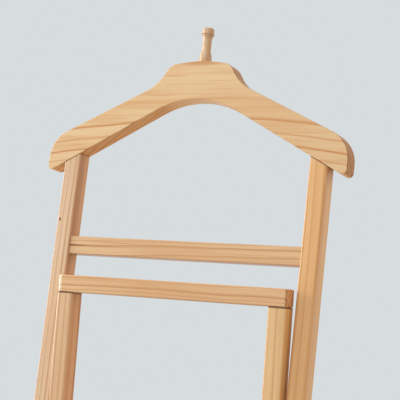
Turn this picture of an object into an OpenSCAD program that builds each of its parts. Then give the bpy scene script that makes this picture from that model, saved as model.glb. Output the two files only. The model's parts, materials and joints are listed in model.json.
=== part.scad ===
// Folding clothes valet chair in clear-finished pine.
// A tall frame with a coat hanger at its head leans back and stands on its front feet. Rear legs cross
// it outside the posts, a slatted seat turns on a rod between the posts and rests on the legs' bar, and
// a low trouser frame nests between the posts, above the seat.
// X runs across the chair, Y to its back and Z up. The origin is under the middle of its outline.

/* [Tall frame] */
// Length of the tall frame along its posts, from the floor to the hanger's datum
stand_len = 1110; // [1000:5:1250]
// Lean of the tall frame to the back, in degrees
back_lean = 14; // [11:0.5:18]
// Width over the two posts
frame_w = 378; // [362:2:400]
// Width of a post, seen from the front
post_w = 23.5; // [19:0.5:27]
// Depth of a post, front to back
post_d = 24.5; // [22:0.5:32]
// Radius of the eased long edges of posts and legs
edge_r = 2.5; // [1:0.5:4]
// Radius of the eased long edges of bars, rails and slats
bar_edge_r = 1.2; // [0.6:0.2:3]

/* [Hanger] */
// Width of the hanger over its ends
hanger_w = 430; // [415:5:460]
// Height of the crown at the middle, above the hanger's datum
crown_h = 6.5; // [5.5:0.5:9]
// Fall of the crown from its middle to its shoulders
crown_fall = 4.5; // [3:0.5:6]
// Half width of the flat crown
crown_half_w = 43; // [38:1:46]
// Half width where the neck meets the arms
neck_half_w = 60; // [57:1:68]
// Drop of the neck's foot below the datum
neck_drop = 25.5; // [20:0.5:30]
// Drop of an arm's upper corner below the datum
arm_drop = 98.5; // [90:0.5:104]
// Drop of an arm's lower corner below the datum
tip_drop = 144.5; // [136:0.5:152]
// Drop of the point where the two lower edges would meet
arch_drop = 29; // [24:0.5:34]
// Radius of the arch at the middle of the lower edge
arch_r = 120; // [90:5:140]
// Radius of the arms' rounded ends
arm_r = 40; // [28:1:46]
// Radius of the arms' lower corners
tip_r = 6; // [3:0.5:9]
// Radius of the neck's hollow
neck_r = 56; // [36:1:60]
// Radius of the crown's corners
shoulder_r = 20; // [10:1:24]
// Radius that rounds the middle of the crown
crown_r = 80; // [50:5:200]

/* [Peg] */
// Height of the turned peg above the hanger's crown
peg_h = 47; // [42:1:54]
// Height of the peg's head above its rim
peg_head_h = 9; // [6:0.5:12]
// Radius of the peg's head
peg_head_r = 7.9; // [6.8:0.1:8.2]
// Radius of the peg's rim under its head
peg_rim_r = 8.8; // [8.4:0.1:10]
// Radius of the peg's neck
peg_neck_r = 5.8; // [4.5:0.1:6.5]
// Radius of the peg's foot
peg_foot_r = 8.3; // [7:0.1:9.4]
// Height of the peg's flared foot
peg_flare_h = 18; // [12:1:24]
// Height of the cove that widens the neck to the rim
peg_cove_h = 7; // [2:0.5:8]
// Radius of the tenon turned on the peg's foot
peg_tenon_r = 4; // [3:0.5:4.5]
// Length of the tenon
peg_tenon_len = 22; // [14:1:30]

/* [Crossbars] */
// Drop of the crossbar's top edge below the hanger's datum
crossbar_drop = 230; // [215:1:245]
// Height of the crossbar
crossbar_h = 23.4; // [20:0.2:28]
// Depth of the crossbar and of the lower stretcher
crossbar_d = 19; // [16:0.5:20]
// Step from the posts' front faces back to the crossbar's face
crossbar_step = 2.7; // [1:0.1:4]
// Height of the lower stretcher's middle along the posts
stretcher_at = 120; // [90:5:180]
// Height of the lower stretcher's face
stretcher_h = 34; // [26:1:44]

/* [Trouser frame] */
// Gap between a post of the tall frame and the trouser frame beside it
trouser_gap = 4; // [4:0.5:9]
// Distance along the posts from the floor to the trouser frame's pivot
trouser_pivot_at = 571; // [560:1:590]
// Height of the trouser frame above its pivot
trouser_h = 256.5; // [235:0.5:266]
// Forward tilt of the trouser frame against the tall frame, in degrees
trouser_tilt = 4.5; // [3.5:0.5:6]
// Length of the trouser posts' tails below the pivot
tail_len = 108; // [104:1:112]
// Width of a trouser post
trouser_post_w = 23.5; // [19:0.5:25]
// Depth of the trouser posts and of their rail
trouser_d = 24; // [20:0.5:26]
// Height of the cap rail
rail_h = 22.4; // [18:0.2:28]
// Radius of the cap rail's eased long edges
rail_edge_r = 2.4; // [1:0.2:4]

/* [Rear legs] */
// Distance along the posts from the floor to the legs' pivot
leg_pivot_at = 302; // [285:1:315]
// Lean of the rear legs against the vertical, in degrees
leg_lean = 42; // [40:0.5:45]
// Width of a leg, seen from the front
leg_w = 20; // [17:0.5:26]
// Depth of a leg
leg_d = 36; // [35:0.5:42]
// Distance along the leg from its pivot to the support bar
bar_at = 170; // [164:1:176]
// Diameter of the support bar
bar_d = 24; // [22:0.5:27]
// Length of a leg above the support bar's middle
leg_head = 18; // [15:1:22]
// Distance along the leg from its pivot down to the rear stretcher
rear_stretcher_at = 290; // [240:5:310]
// Height of the rear stretcher's face
rear_stretcher_h = 36; // [28:1:46]
// Thickness of the rear stretcher
rear_stretcher_d = 20; // [16:0.5:24]

/* [Seat] */
// Gap between the seat's edge and a trouser post, when the seat is folded up
seat_gap = 2; // [1:0.5:12]
// Reach of the seat in front of its pivot
seat_front = 205; // [200:1:220]
// Number of slats
slat_count = 7; // [5:1:8]
// Width of a slat
slat_w = 36; // [30:0.5:37]
// Gap between two slats
slat_gap = 8; // [5:0.5:9]
// Thickness of a slat
slat_t = 12; // [9:0.5:16]
// Height of a seat rail
seat_rail_h = 32; // [28:0.5:34]
// Width of a seat rail
seat_rail_w = 20; // [16:0.5:24]
// Step from the ends of the seat back to the ends of its rails
seat_rail_step = 5; // [2:0.5:10]
// Diameter of the rod that the seat turns on
rod_d = 16; // [12:0.5:18]
// Wall of the sleeves on the rod
seat_spacer_wall = 3.5; // [2:0.5:5]
// Length of a seat cleat in front of the support bar
cleat_len = 17; // [12:0.5:19]
// Step from the support bar's middle forward to a cleat's rear end
cleat_step = 2; // [1:0.5:4]
// Depth of a seat cleat below its rail
cleat_h = 20; // [14:0.5:22]

/* [Hardware] */
// Diameter of the legs' bolts
leg_bolt_d = 8; // [6:0.5:9]
// Thickness of the nylon spacers between legs and posts
leg_spacer_t = 2.5; // [1.5:0.1:4]
// Wall of the legs' nylon spacers
leg_spacer_wall = 7; // [4:0.5:9]
// Thickness of every washer
washer_t = 1.5; // [1:0.1:2]
// Diameter of the trouser frame's bolts
pivot_bolt_d = 6; // [5:0.5:7]
// Length of the threaded inserts in the trouser posts
insert_len = 13; // [10:0.5:15]
// Wall of the threaded inserts
insert_wall = 2; // [1.5:0.5:3]
// Wall of the nylon spacers beside the trouser frame
pivot_spacer_wall = 4.5; // [3:0.5:6]
// Diameter of the pins that stop the trouser frame
stop_pin_d = 5; // [4:0.5:6]
// Height of the stop pins above the ends of the trouser posts' tails
stop_up = 12; // [8:1:20]
// Diameter of the large dowels
dowel_d = 8; // [6:0.5:9]
// Diameter of the small dowels
small_dowel_d = 6; // [5:0.5:8]
// Length of every dowel on each side of its joint
dowel_reach = 18; // [12:0.5:19]
// Diameter of the wood screws
screw_d = 4; // [3:0.5:5]
// Diameter of the glides under the feet
glide_d = 16; // [12:0.5:18]
// Thickness of the glides
glide_t = 3; // [2:0.5:6]

/* [Clearances] */
// Radial clearance of a turning joint
turn_play = 0.05; // [0.02:0.01:0.08]
// Radial room for glue round a dowel, rod or tenon, and round a fixed bolt or screw
glue_room = 0.05; // [0.02:0.01:0.1]
// Side play between faces that turn on each other
side_play = 0.2; // [0.1:0.05:0.4]
// Gap between the seat and the support bar that it rests on
rest_gap = 0.3; // [0.2:0.05:0.5]
// Gap between the seat and the support bar when all is folded flat
fold_gap = 0.8; // [0.5:0.1:2]

/* [Hidden] */
$fn = 64;
pine = [0.87, 0.72, 0.52];
pale_pine = [0.89, 0.76, 0.58];
beech = [0.80, 0.62, 0.44];
steel = [0.72, 0.72, 0.73];
black_nylon = [0.16, 0.16, 0.17];
white_nylon = [0.88, 0.88, 0.86];
pad = 1;             // how far a cutting body runs past a face
cut_away_r = 1;      // radius of a corner that lies outside the wood
ease_steps = 4;      // straight steps in an eased edge
round_steps = 10;    // straight steps in a rounded corner of an outline
peg_rim_t = 1.4;     // thickness of the peg's rim
peg_top_r = 2.2;     // radius round the top of the peg's head
peg_step = 0.125;    // share of the foot's flare and of the cove taken by one straight step

// The tall frame's own measures: x across, y to its back, z up along the posts
post_in = frame_w / 2 - post_w;
post_mid = frame_w / 2 - post_w / 2;
under_slope = (tip_drop - arch_drop) / (hanger_w / 2);
function under_drop(x) = arch_drop + under_slope * x;
hanger_top = crown_h - crown_r * (1 / cos(atan(crown_fall / crown_half_w)) - 1);
crossbar_mid = stand_len - crossbar_drop - crossbar_h / 2;
crossbar_y = -post_d / 2 + crossbar_step + crossbar_d / 2;

// The trouser frame fits between the posts, and the seat between the trouser posts
trouser_w = 2 * (post_in - trouser_gap);
trouser_post_x = trouser_w / 2 - trouser_post_w / 2;
seat_w = trouser_w - 2 * (trouser_post_w + seat_gap);

// Folding geometry: the legs turn by fold_angle and the seat by seat_angle until both lie flat
fold_angle = back_lean + leg_lean;
seat_angle = 90 + back_lean;
bar_out = seat_rail_h / 2 + bar_d / 2 + fold_gap;
bar_front = bar_at * sin(fold_angle) + bar_out * cos(fold_angle);
bar_rise = bar_at * cos(fold_angle) - bar_out * sin(fold_angle);
rest_drop = seat_rail_h / 2 + bar_d / 2 + rest_gap;
pivot_rise = bar_rise + (rest_drop - bar_front * cos(seat_angle)) / sin(seat_angle);
seat_pivot_at = leg_pivot_at + pivot_rise;
rest_reach = bar_front * sin(seat_angle) + (bar_rise - pivot_rise) * cos(seat_angle);

// Seat measures, counted to the front from its pivot
slat_pitch = slat_w + slat_gap;
seat_len = slat_count * slat_w + (slat_count - 1) * slat_gap;
seat_back = seat_len - seat_front;
seat_rail_x = seat_w / 2 - seat_rail_w / 2;

// Leg measures
leg_in = frame_w / 2 + leg_spacer_t + side_play;
leg_x = leg_in + leg_w / 2;
leg_out = leg_in + leg_w;

// Hardware measures, from the bolts', rod's and screws' diameters
leg_washer_r = leg_bolt_d * 1.1;
leg_head_r = leg_bolt_d * 0.95;
leg_head_h = leg_bolt_d * 0.5;
nut_w = leg_bolt_d * 1.62;
nut_h = leg_bolt_d * 0.8;
bolt_tip = leg_bolt_d * 0.25;
pivot_washer_r = pivot_bolt_d * 1.05;
pivot_head_r = pivot_bolt_d * 0.9;
pivot_head_h = pivot_bolt_d * 0.55;
insert_r = pivot_bolt_d / 2 + insert_wall;
pivot_spacer_r = pivot_bolt_d / 2 + pivot_spacer_wall;
leg_spacer_r = leg_bolt_d / 2 + leg_spacer_wall;
seat_spacer_r = rod_d / 2 + seat_spacer_wall;
post_grip = post_w * 0.7;
stop_pin_grip = trouser_post_w * 0.7;
rail_dowel_up = rail_h * 0.7;
screw_head_r = screw_d * 0.95;
screw_head_h = screw_d * 0.55;
slat_screw_len = slat_t + seat_rail_h * 0.5;
leg_screw_len = leg_d + bar_d * 0.35;
stretcher_screw_len = rear_stretcher_d + leg_d * 0.55;
cleat_screw_len = cleat_h + seat_rail_h * 0.4;

// Where the middle of the outline lies behind the tall frame's foot
leg_pivot_y = leg_pivot_at * sin(back_lean);
leg_pivot_z = leg_pivot_at * cos(back_lean);
seat_pivot_y = seat_pivot_at * sin(back_lean);
reach_front = seat_pivot_y - seat_front;
reach_back = leg_pivot_y + (leg_pivot_z - glide_t) * tan(leg_lean) + leg_d / 2 / cos(leg_lean);
middle_y = (reach_front + reach_back) / 2;

// Points along an arc from angle a0 to a1
function arc(centre, r, a0, a1, steps) =
    [for (i = [0 : steps]) let (a = a0 + (a1 - a0) * i / steps) centre + r * [cos(a), sin(a)]];

// Section of a lath of width w and depth d with its edges eased by radius r
function eased(w, d, r) = [
    for (q = [[1, 1, 0], [-1, 1, 90], [-1, -1, 180], [1, -1, 270]])
        each arc([q.x * (w / 2 - r), q.y * (d / 2 - r)], r, q.z, q.z + 90, ease_steps)
];

// Corners [x, y, radius] of an outline, each rounded by an arc tangent to its two sides
function unit(v) = v / norm(v);
function flat(p) = [p.x, p.y];
function near_turn(a) = a > 180 ? a - 360 : a < -180 ? a + 360 : a;
function corner(before, here, after, r) =
    let (
        a = unit(before - here),
        b = unit(after - here),
        half = acos(a * b) / 2,
        centre = here + unit(a + b) * r / sin(half),
        from = here + a * r / tan(half) - centre,
        to = here + b * r / tan(half) - centre,
        start = atan2(from.y, from.x),
        sweep = near_turn(atan2(to.y, to.x) - start)
    )
    arc(centre, r, start, start + sweep, round_steps);
function rounded(points) =
    let (n = len(points))
    [for (i = [0 : n - 1])
        each corner(flat(points[(i + n - 1) % n]), flat(points[i]), flat(points[(i + 1) % n]), points[i][2])];

// Frames of reference: the tall frame, the trouser frame, the legs and the seat
module in_frame() {
    translate([0, -middle_y, 0]) rotate([-back_lean, 0, 0]) children();
}

module in_trouser() {
    in_frame() translate([0, 0, trouser_pivot_at]) rotate([trouser_tilt, 0, 0]) children();
}

module in_legs() {
    in_frame() translate([0, 0, leg_pivot_at]) rotate([fold_angle, 0, 0]) children();
}

module in_seat() {
    in_frame() translate([0, 0, seat_pivot_at]) rotate([back_lean, 0, 0]) children();
}

// Places children on the left (side -1) or on the right (side 1)
module on_side(side) {
    if (side < 0) mirror([1, 0, 0]) children();
    else children();
}

module both_sides() {
    for (side = [-1, 1]) on_side(side) children();
}

// Solid round bar along X from x0 to x1
module round_x(r, x0, x1) {
    translate([x0, 0, 0]) rotate([0, 90, 0]) cylinder(r = r, h = x1 - x0);
}

// Flat ring along X
module ring_x(outer, inner, x0, x1) {
    difference() {
        round_x(outer, x0, x1);
        round_x(inner, x0 - pad, x1 + pad);
    }
}

// Eased lath standing along Z
module lath_z(w, d, z0, z1) {
    translate([0, 0, z0]) linear_extrude(z1 - z0) polygon(eased(w, d, edge_r));
}

// Eased lath lying along X
module lath_x(len_x, d, h, r = bar_edge_r) {
    rotate([90, 0, 90]) linear_extrude(len_x, center = true) polygon(eased(d, h, r));
}

// Countersunk wood screw: its head's face at the origin, its tip down -Z
module screw(length, room = 0) {
    rotate_extrude() polygon([
        [0, 0], [screw_head_r + room, 0], [screw_d / 2 + room, -screw_head_h],
        [screw_d / 2 + room, -length + screw_d], [0, -length - room]
    ]);
}

// A screw's hole: as the screw, open above its head
module screw_hole(length) {
    screw(length, glue_room);
    cylinder(r = screw_head_r + glue_room, h = pad);
}

// Everything below the level of the floor's glides, for trimming feet
module floor_cut() {
    reach = 2 * stand_len;
    translate([-reach / 2, -reach / 2, glide_t - reach]) cube(reach);
}

// ---- Tall frame ----

module hanger_dowel_shape(room = 0) {
    translate([post_mid, 0, stand_len - under_drop(post_mid) - dowel_reach])
        cylinder(r = dowel_d / 2 + room, h = 2 * dowel_reach);
}

module crossbar_dowel_shapes(room = 0) {
    for (dz = [-1, 1]) translate([0, crossbar_y, crossbar_mid + dz * crossbar_h / 4])
        round_x(small_dowel_d / 2 + room, post_in - dowel_reach, post_in + dowel_reach);
}

module stretcher_dowel_shapes(room = 0) {
    for (dz = [-1, 1]) translate([0, crossbar_y, stretcher_at + dz * stretcher_h / 4])
        round_x(small_dowel_d / 2 + room, post_in - dowel_reach, post_in + dowel_reach);
}

module seat_rod_shape(room = 0) {
    translate([0, 0, seat_pivot_at])
        round_x(rod_d / 2 + room, -post_in - post_grip - room, post_in + post_grip + room);
}

// The stop pins stand just in front of the trouser posts' tails
module stop_pin_shape(room = 0) {
    translate([0, 0, trouser_pivot_at]) rotate([trouser_tilt, 0, 0])
        translate([0, -trouser_d / 2 - stop_pin_d / 2 - side_play, stop_up - tail_len])
            round_x(stop_pin_d / 2 + room, trouser_w / 2 - stop_pin_grip, post_in + post_grip + room);
}

// Everything above the hanger's lower edge
module hanger_space() {
    translate([0, post_d, 0]) rotate([90, 0, 0]) linear_extrude(2 * post_d) polygon([
        [0, stand_len - under_drop(0)],
        [hanger_w, stand_len - under_drop(hanger_w)],
        [hanger_w, stand_len + pad],
        [0, stand_len + pad]
    ]);
}

module post(side) {
    color(pine) difference() {
        in_frame() on_side(side) difference() {
            translate([post_mid, 0, 0]) lath_z(post_w, post_d, -post_d, stand_len);
            hanger_space();
            hanger_dowel_shape(glue_room);
            crossbar_dowel_shapes(glue_room);
            stretcher_dowel_shapes(glue_room);
            seat_rod_shape(glue_room);
            stop_pin_shape(glue_room);
            translate([0, 0, leg_pivot_at])
                round_x(leg_bolt_d / 2 + glue_room, post_in - pad, frame_w / 2 + pad);
            translate([0, 0, trouser_pivot_at])
                round_x(pivot_bolt_d / 2 + turn_play, post_in - pad, frame_w / 2 + pad);
        }
        floor_cut();
    }
}

hanger_half = [
    [crown_half_w, crown_h - crown_fall, shoulder_r],
    [neck_half_w, -neck_drop, neck_r],
    [hanger_w / 2, -arm_drop, arm_r],
    [hanger_w / 2, -tip_drop, tip_r]
];
hanger_outline = concat(
    [[0, crown_h, crown_r]],
    hanger_half,
    [[0, -arch_drop, arch_r]],
    [for (i = [len(hanger_half) - 1 : -1 : 0]) [-hanger_half[i].x, hanger_half[i].y, hanger_half[i][2]]]
);

module hanger() {
    color(pale_pine) in_frame() difference() {
        translate([0, post_d / 2, stand_len]) rotate([90, 0, 0])
            linear_extrude(post_d) polygon(rounded(hanger_outline));
        both_sides() hanger_dowel_shape(glue_room);
        translate([0, 0, stand_len + hanger_top - peg_tenon_len - glue_room])
            cylinder(r = peg_tenon_r + glue_room, h = peg_tenon_len + crown_h);
    }
}

// Turned peg: a flared foot, a slim neck, a cove, and a flat-topped head over a thin rim, with a tenon below
peg_rim_at = peg_h - peg_head_h;
peg_profile = concat(
    [[0, -peg_tenon_len], [peg_tenon_r, -peg_tenon_len], [peg_tenon_r, 0]],
    [for (t = [0 : peg_step : 1])
        [peg_neck_r + (peg_foot_r - peg_neck_r) * (1 + cos(180 * t * t)) / 2, peg_flare_h * t]],
    [for (t = [0 : peg_step : 1])
        [peg_neck_r + (peg_rim_r - peg_rim_t / 2 - peg_neck_r) * t * t, peg_rim_at - peg_cove_h * (1 - t)]],
    [[peg_rim_r, peg_rim_at + peg_rim_t / 2], [peg_rim_r - peg_rim_t / 2, peg_rim_at + peg_rim_t]],
    arc([peg_head_r - peg_top_r, peg_h - peg_top_r], peg_top_r, 0, 90, ease_steps),
    [[0, peg_h]]
);

module peg() {
    color(beech) in_frame() translate([0, 0, stand_len + hanger_top])
        rotate_extrude() polygon(peg_profile);
}

module crossbar() {
    color(pine) in_frame() difference() {
        translate([0, crossbar_y, crossbar_mid]) lath_x(2 * post_in, crossbar_d, crossbar_h);
        both_sides() crossbar_dowel_shapes(glue_room);
    }
}

module lower_stretcher() {
    color(pine) in_frame() difference() {
        translate([0, crossbar_y, stretcher_at]) lath_x(2 * post_in, crossbar_d, stretcher_h);
        both_sides() stretcher_dowel_shapes(glue_room);
    }
}

module hanger_dowels() {
    color(beech) in_frame() both_sides() hanger_dowel_shape();
}

module crossbar_dowels() {
    color(beech) in_frame() both_sides() crossbar_dowel_shapes();
}

module stretcher_dowels() {
    color(beech) in_frame() both_sides() stretcher_dowel_shapes();
}

module seat_rod() {
    color(beech) in_frame() seat_rod_shape();
}

// Sleeves on the rod keep the seat midway between the posts
module seat_spacers() {
    color(white_nylon) in_frame() both_sides() translate([0, 0, seat_pivot_at])
        ring_x(seat_spacer_r, rod_d / 2 + glue_room, seat_w / 2 + side_play, post_in);
}

module stop_pins() {
    color(steel) in_frame() both_sides() stop_pin_shape();
}

module glide() {
    rotate_extrude() polygon([
        [0, 0], [glide_d / 2 - glide_t * 0.4, 0], [glide_d / 2, glide_t * 0.4],
        [glide_d / 2, glide_t], [0, glide_t]
    ]);
}

module front_glides() {
    color(black_nylon) both_sides()
        translate([post_mid, glide_t * tan(back_lean) - middle_y, 0]) glide();
}

module leg_bolts() {
    color(steel) in_frame() both_sides() translate([0, 0, leg_pivot_at]) {
        round_x(leg_bolt_d / 2, post_in - washer_t - nut_h - bolt_tip, leg_out + side_play + washer_t);
        translate([leg_out + side_play + washer_t, 0, 0]) rotate([0, 90, 0]) rotate_extrude() polygon([
            [0, 0], [leg_head_r, 0], [leg_head_r * 0.95, leg_head_h * 0.35],
            [leg_head_r * 0.6, leg_head_h * 0.85], [0, leg_head_h]
        ]);
    }
}

module leg_washers() {
    color(steel) in_frame() both_sides() translate([0, 0, leg_pivot_at])
        ring_x(leg_washer_r, leg_bolt_d / 2 + glue_room, leg_out + side_play, leg_out + side_play + washer_t);
}

module leg_spacers() {
    color(white_nylon) in_frame() both_sides() translate([0, 0, leg_pivot_at])
        ring_x(leg_spacer_r, leg_bolt_d / 2 + glue_room, frame_w / 2, frame_w / 2 + leg_spacer_t);
}

module leg_nut_washers() {
    color(steel) in_frame() both_sides() translate([0, 0, leg_pivot_at])
        ring_x(leg_washer_r, leg_bolt_d / 2 + glue_room, post_in - washer_t, post_in);
}

module leg_nuts() {
    color(steel) in_frame() both_sides() translate([0, 0, leg_pivot_at]) difference() {
        translate([post_in - washer_t - nut_h, 0, 0]) rotate([0, 90, 0])
            cylinder(d = nut_w / cos(30), h = nut_h, $fn = 6);
        round_x(leg_bolt_d / 2 + glue_room, post_in - nut_h - 2 * pad - washer_t, post_in + pad);
    }
}

module pivot_washers() {
    color(steel) in_frame() both_sides() translate([0, 0, trouser_pivot_at])
        ring_x(pivot_washer_r, pivot_bolt_d / 2 + turn_play, frame_w / 2, frame_w / 2 + washer_t);
}

module pivot_spacers() {
    color(white_nylon) in_frame() both_sides() translate([0, 0, trouser_pivot_at])
        ring_x(pivot_spacer_r, pivot_bolt_d / 2 + turn_play, trouser_w / 2 + side_play, post_in);
}

// ---- Trouser frame, measured from its pivot ----

module rail_dowel_shape(room = 0) {
    translate([trouser_post_x, 0, trouser_h - rail_h - dowel_reach])
        cylinder(r = dowel_d / 2 + room, h = dowel_reach + rail_dowel_up);
}

module insert_shape(room = 0) {
    round_x(insert_r + room, trouser_w / 2 - insert_len - room, trouser_w / 2);
}

module trouser_post(side) {
    color(pine) in_trouser() on_side(side) difference() {
        translate([trouser_post_x, 0, 0]) lath_z(trouser_post_w, trouser_d, -tail_len, trouser_h - rail_h);
        rail_dowel_shape(glue_room);
        insert_shape(glue_room);
        translate([trouser_w / 2, 0, 0]) round_x(insert_r + glue_room, -pad, pad);
    }
}

module trouser_rail() {
    color(pale_pine) in_trouser() difference() {
        translate([0, 0, trouser_h - rail_h / 2]) lath_x(trouser_w, trouser_d, rail_h, rail_edge_r);
        both_sides() rail_dowel_shape(glue_room);
    }
}

module rail_dowels() {
    color(beech) in_trouser() both_sides() rail_dowel_shape();
}

module pivot_inserts() {
    color(steel) in_trouser() both_sides() difference() {
        insert_shape();
        round_x(pivot_bolt_d / 2 + glue_room, trouser_w / 2 - insert_len - pad, trouser_w / 2 + pad);
    }
}

module pivot_bolts() {
    head_x = frame_w / 2 + washer_t + side_play;
    color(steel) in_trouser() both_sides() {
        round_x(pivot_bolt_d / 2, trouser_w / 2 - insert_len, head_x);
        translate([head_x, 0, 0]) rotate([0, 90, 0]) rotate_extrude() polygon([
            [0, 0], [pivot_head_r, 0], [pivot_head_r * 0.95, pivot_head_h * 0.4],
            [pivot_head_r * 0.6, pivot_head_h], [0, pivot_head_h]
        ]);
    }
}

// ---- Rear legs, measured from their pivot ----

module support_bar_shape(room = 0) {
    translate([0, -bar_out, bar_at]) round_x(bar_d / 2 + room, -leg_out, leg_out);
}

module bar_screw_place() {
    translate([leg_x, leg_d / 2, bar_at]) rotate([-90, 0, 0]) children();
}

module rear_stretcher_place() {
    for (dz = [-1, 1])
        translate([leg_x, leg_d / 2 + rear_stretcher_d, dz * rear_stretcher_h / 4 - rear_stretcher_at])
            rotate([-90, 0, 0]) children();
}

// A leg's side outline: straight edges and a rounded head
module leg_blank() {
    head_r = leg_d * 0.3;
    foot = leg_pivot_z / cos(leg_lean) + leg_d;
    intersection() {
        translate([leg_x, 0, 0]) lath_z(leg_w, leg_d, -foot, bar_at + leg_head);
        translate([leg_in - pad, 0, 0]) rotate([90, 0, 90]) linear_extrude(leg_w + 2 * pad)
            polygon(rounded([
                [leg_d / 2, -foot, cut_away_r], [leg_d / 2, bar_at + leg_head, head_r],
                [-leg_d / 2, bar_at + leg_head, head_r], [-leg_d / 2, -foot, cut_away_r]
            ]));
    }
}

module leg(side) {
    color(pine) difference() {
        in_legs() on_side(side) difference() {
            leg_blank();
            round_x(leg_bolt_d / 2 + turn_play, leg_in - pad, leg_out + pad);
            support_bar_shape(glue_room);
            translate([0, -bar_out, bar_at]) round_x(bar_d / 2 + glue_room, leg_out - pad, leg_out + pad);
            bar_screw_place() screw_hole(leg_screw_len);
            rear_stretcher_place() screw_hole(stretcher_screw_len);
        }
        floor_cut();
    }
}

module support_bar() {
    color(beech) in_legs() difference() {
        support_bar_shape();
        both_sides() bar_screw_place() screw_hole(leg_screw_len);
    }
}

module bar_screws() {
    color(steel) in_legs() both_sides() bar_screw_place() screw(leg_screw_len);
}

module rear_stretcher() {
    color(pine) in_legs() difference() {
        translate([0, leg_d / 2 + rear_stretcher_d / 2, -rear_stretcher_at])
            lath_x(2 * leg_out, rear_stretcher_d, rear_stretcher_h);
        both_sides() rear_stretcher_place() screw_hole(stretcher_screw_len);
    }
}

module rear_stretcher_screws() {
    color(steel) in_legs() both_sides() rear_stretcher_place() screw(stretcher_screw_len);
}

module rear_glides() {
    color(black_nylon) both_sides()
        translate([leg_x, leg_pivot_y + (leg_pivot_z - glide_t) * tan(leg_lean) - middle_y, 0]) glide();
}

// ---- Seat, measured from its pivot ----

function slat_y(i) = seat_back - slat_w / 2 - i * slat_pitch;

module slat_screw_places(i) {
    translate([seat_rail_x, slat_y(i), seat_rail_h / 2 + slat_t]) children();
}

module cleat_screw_place() {
    translate([seat_rail_x, -rest_reach - cleat_step - bar_d / 2 - cleat_len / 2, -seat_rail_h / 2 - cleat_h])
        rotate([180, 0, 0]) children();
}

module seat_rail(side) {
    end_r = seat_rail_h * 0.4;
    color(pine) in_seat() on_side(side) difference() {
        intersection() {
            translate([seat_rail_x, (seat_back - seat_front) / 2, 0]) rotate([0, 0, 90])
                lath_x(seat_len - 2 * seat_rail_step, seat_rail_w, seat_rail_h);
            translate([seat_w / 2 - seat_rail_w - pad, 0, 0]) rotate([90, 0, 90])
                linear_extrude(seat_rail_w + 2 * pad) polygon(rounded([
                    [seat_back - seat_rail_step, seat_rail_h, cut_away_r],
                    [seat_rail_step - seat_front, seat_rail_h, cut_away_r],
                    [seat_rail_step - seat_front, -seat_rail_h / 2, end_r],
                    [seat_back - seat_rail_step, -seat_rail_h / 2, end_r]
                ]));
        }
        round_x(rod_d / 2 + turn_play, seat_rail_x - seat_rail_w, seat_w / 2 + pad);
        for (i = [0 : slat_count - 1]) slat_screw_places(i) screw_hole(slat_screw_len);
        cleat_screw_place() screw_hole(cleat_screw_len);
    }
}

module slat(i) {
    color(pale_pine) in_seat() difference() {
        translate([0, slat_y(i), seat_rail_h / 2 + slat_t / 2]) lath_x(seat_w, slat_w, slat_t);
        both_sides() slat_screw_places(i) screw_hole(slat_screw_len);
    }
}

module slat_screws() {
    color(steel) in_seat() both_sides() for (i = [0 : slat_count - 1])
        slat_screw_places(i) screw(slat_screw_len);
}

// Cleats under the seat rails hook over the front of the support bar and keep the legs from spreading
module cleat(side) {
    back = -rest_reach - cleat_step;
    front = back - bar_d / 2 - cleat_len;
    color(beech) in_seat() on_side(side) difference() {
        translate([seat_rail_x - seat_rail_w / 2, front, -seat_rail_h / 2 - cleat_h])
            cube([seat_rail_w, back - front, cleat_h]);
        translate([0, -rest_reach, -rest_drop]) round_x(bar_d / 2 + rest_gap, 0, seat_w);
        translate([0, -rest_reach, -rest_drop - bar_d])
            cube([seat_w, bar_d, bar_d]);
        cleat_screw_place() screw_hole(cleat_screw_len);
    }
}

module cleat_screws() {
    color(steel) in_seat() both_sides() cleat_screw_place() screw(cleat_screw_len);
}

post(-1);  // post_left
post(1);  // post_right
hanger();
peg();
crossbar();
lower_stretcher();
hanger_dowels();
crossbar_dowels();
stretcher_dowels();
seat_rod();
seat_spacers();
stop_pins();
front_glides();
leg_bolts();
leg_washers();
leg_spacers();
leg_nut_washers();
leg_nuts();
pivot_washers();
pivot_spacers();
trouser_post(-1);  // trouser_post_left
trouser_post(1);  // trouser_post_right
trouser_rail();
rail_dowels();
pivot_inserts();
pivot_bolts();
leg(-1);  // leg_left
leg(1);  // leg_right
support_bar();
bar_screws();
rear_stretcher();
rear_stretcher_screws();
rear_glides();
seat_rail(-1);  // seat_rail_left
seat_rail(1);  // seat_rail_right
for (i = [1 : slat_count])
    slat(i - 1);
slat_screws();
cleat(-1);  // cleat_left
cleat(1);  // cleat_right
cleat_screws();
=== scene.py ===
# Folding clothes valet chair in clear-finished pine. A tall leaning frame carries a coat hanger and a peg
# at its head, a low trouser frame turns between its posts, and a slatted seat rests on crossing rear legs.
import json
import math

import bmesh
import bpy
from mathutils import Matrix, Vector


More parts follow.
